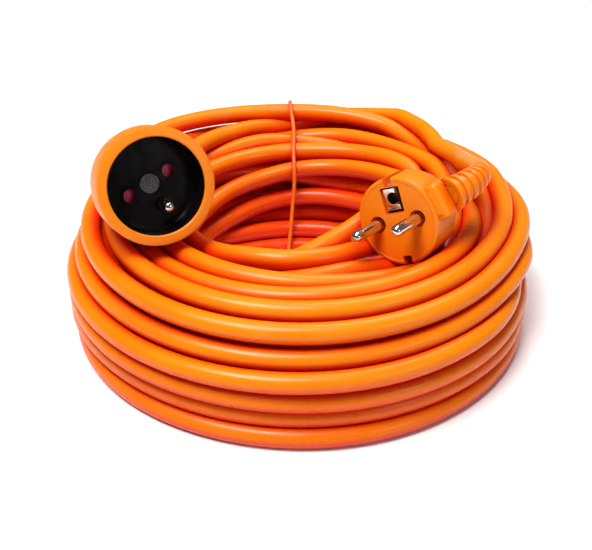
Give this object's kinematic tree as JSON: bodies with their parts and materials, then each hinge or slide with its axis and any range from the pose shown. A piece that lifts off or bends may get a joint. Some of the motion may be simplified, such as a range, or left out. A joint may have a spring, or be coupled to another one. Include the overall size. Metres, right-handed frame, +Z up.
{
  "type": "extension cord",
  "caption": "Orange mains extension cord wound in a hand coil, with an angled round-pin plug and a round inline socket with earth pin and safety shutter lying on top.",
  "frame": {"origin": "on the floor, on the axis of the coil, which is the centre of the part's box", "axes": "+Z up; -Y towards the front, where the plug and the socket face; +X towards the plug's side"},
  "size_m": [0.2126, 0.2126, 0.1037],
  "materials": {
    "orange_sheath": "extruded flexible PVC, soft gloss",
    "orange_pvc": "moulded PVC, satin",
    "black_insert": "hard moulded plastic, gloss",
    "grey_moulding": "fine textured moulding",
    "red_shutter": "moulded, satin",
    "nickel": "nickel plate, bright",
    "brass": "rolled brass",
    "spring_steel": "plain spring steel",
    "core_brown": "core insulation",
    "core_blue": "core insulation",
    "core_green_yellow": "two-colour core insulation",
    "tie_wire": "plastic-coated wire"
  },
  "bodies": {
    "cordset": {"socket_housing": "orange_pvc", "socket_insert": "black_insert", "shutter_pivot": "grey_moulding", "shutter_spring": "spring_steel", "contact_carrier": "grey_moulding", "live_contact": "brass", "neutral_contact": "brass", "socket_earth_pin": "nickel", "socket_core_brown": "core_brown", "socket_core_blue": "core_blue", "socket_core_earth": "core_green_yellow", "socket_strain_relief": "orange_pvc", "socket_cord_end": "orange_sheath", "plug_body": "orange_pvc", "plug_bridge": "grey_moulding", "plug_pin_left": "nickel", "plug_pin_right": "nickel", "plug_earth_contact": "nickel", "earth_clip_upper": "spring_steel", "earth_clip_lower": "spring_steel", "plug_core_brown": "core_brown", "plug_core_blue": "core_blue", "plug_core_earth": "core_green_yellow", "plug_strain_relief": "orange_pvc", "plug_cord_end": "orange_sheath", "socket_lead": "orange_sheath", "plug_lead": "orange_sheath", "cord_coil": "orange_sheath", "coil_tie": "tie_wire"},
    "shutter": {"shutter": "red_shutter"}
  },
  "joints": [
    {"name": "shutter_turn", "type": "hinge", "parent": "cordset", "child": "shutter", "pos_m": [-0.06456, -0.02501, 0.07501], "axis": [0.3659, -0.8698, 0.3309], "range_deg": [0, 42], "stiffness_Nm_per_rad": 0.01, "springref_deg": -17.19}
  ]
}
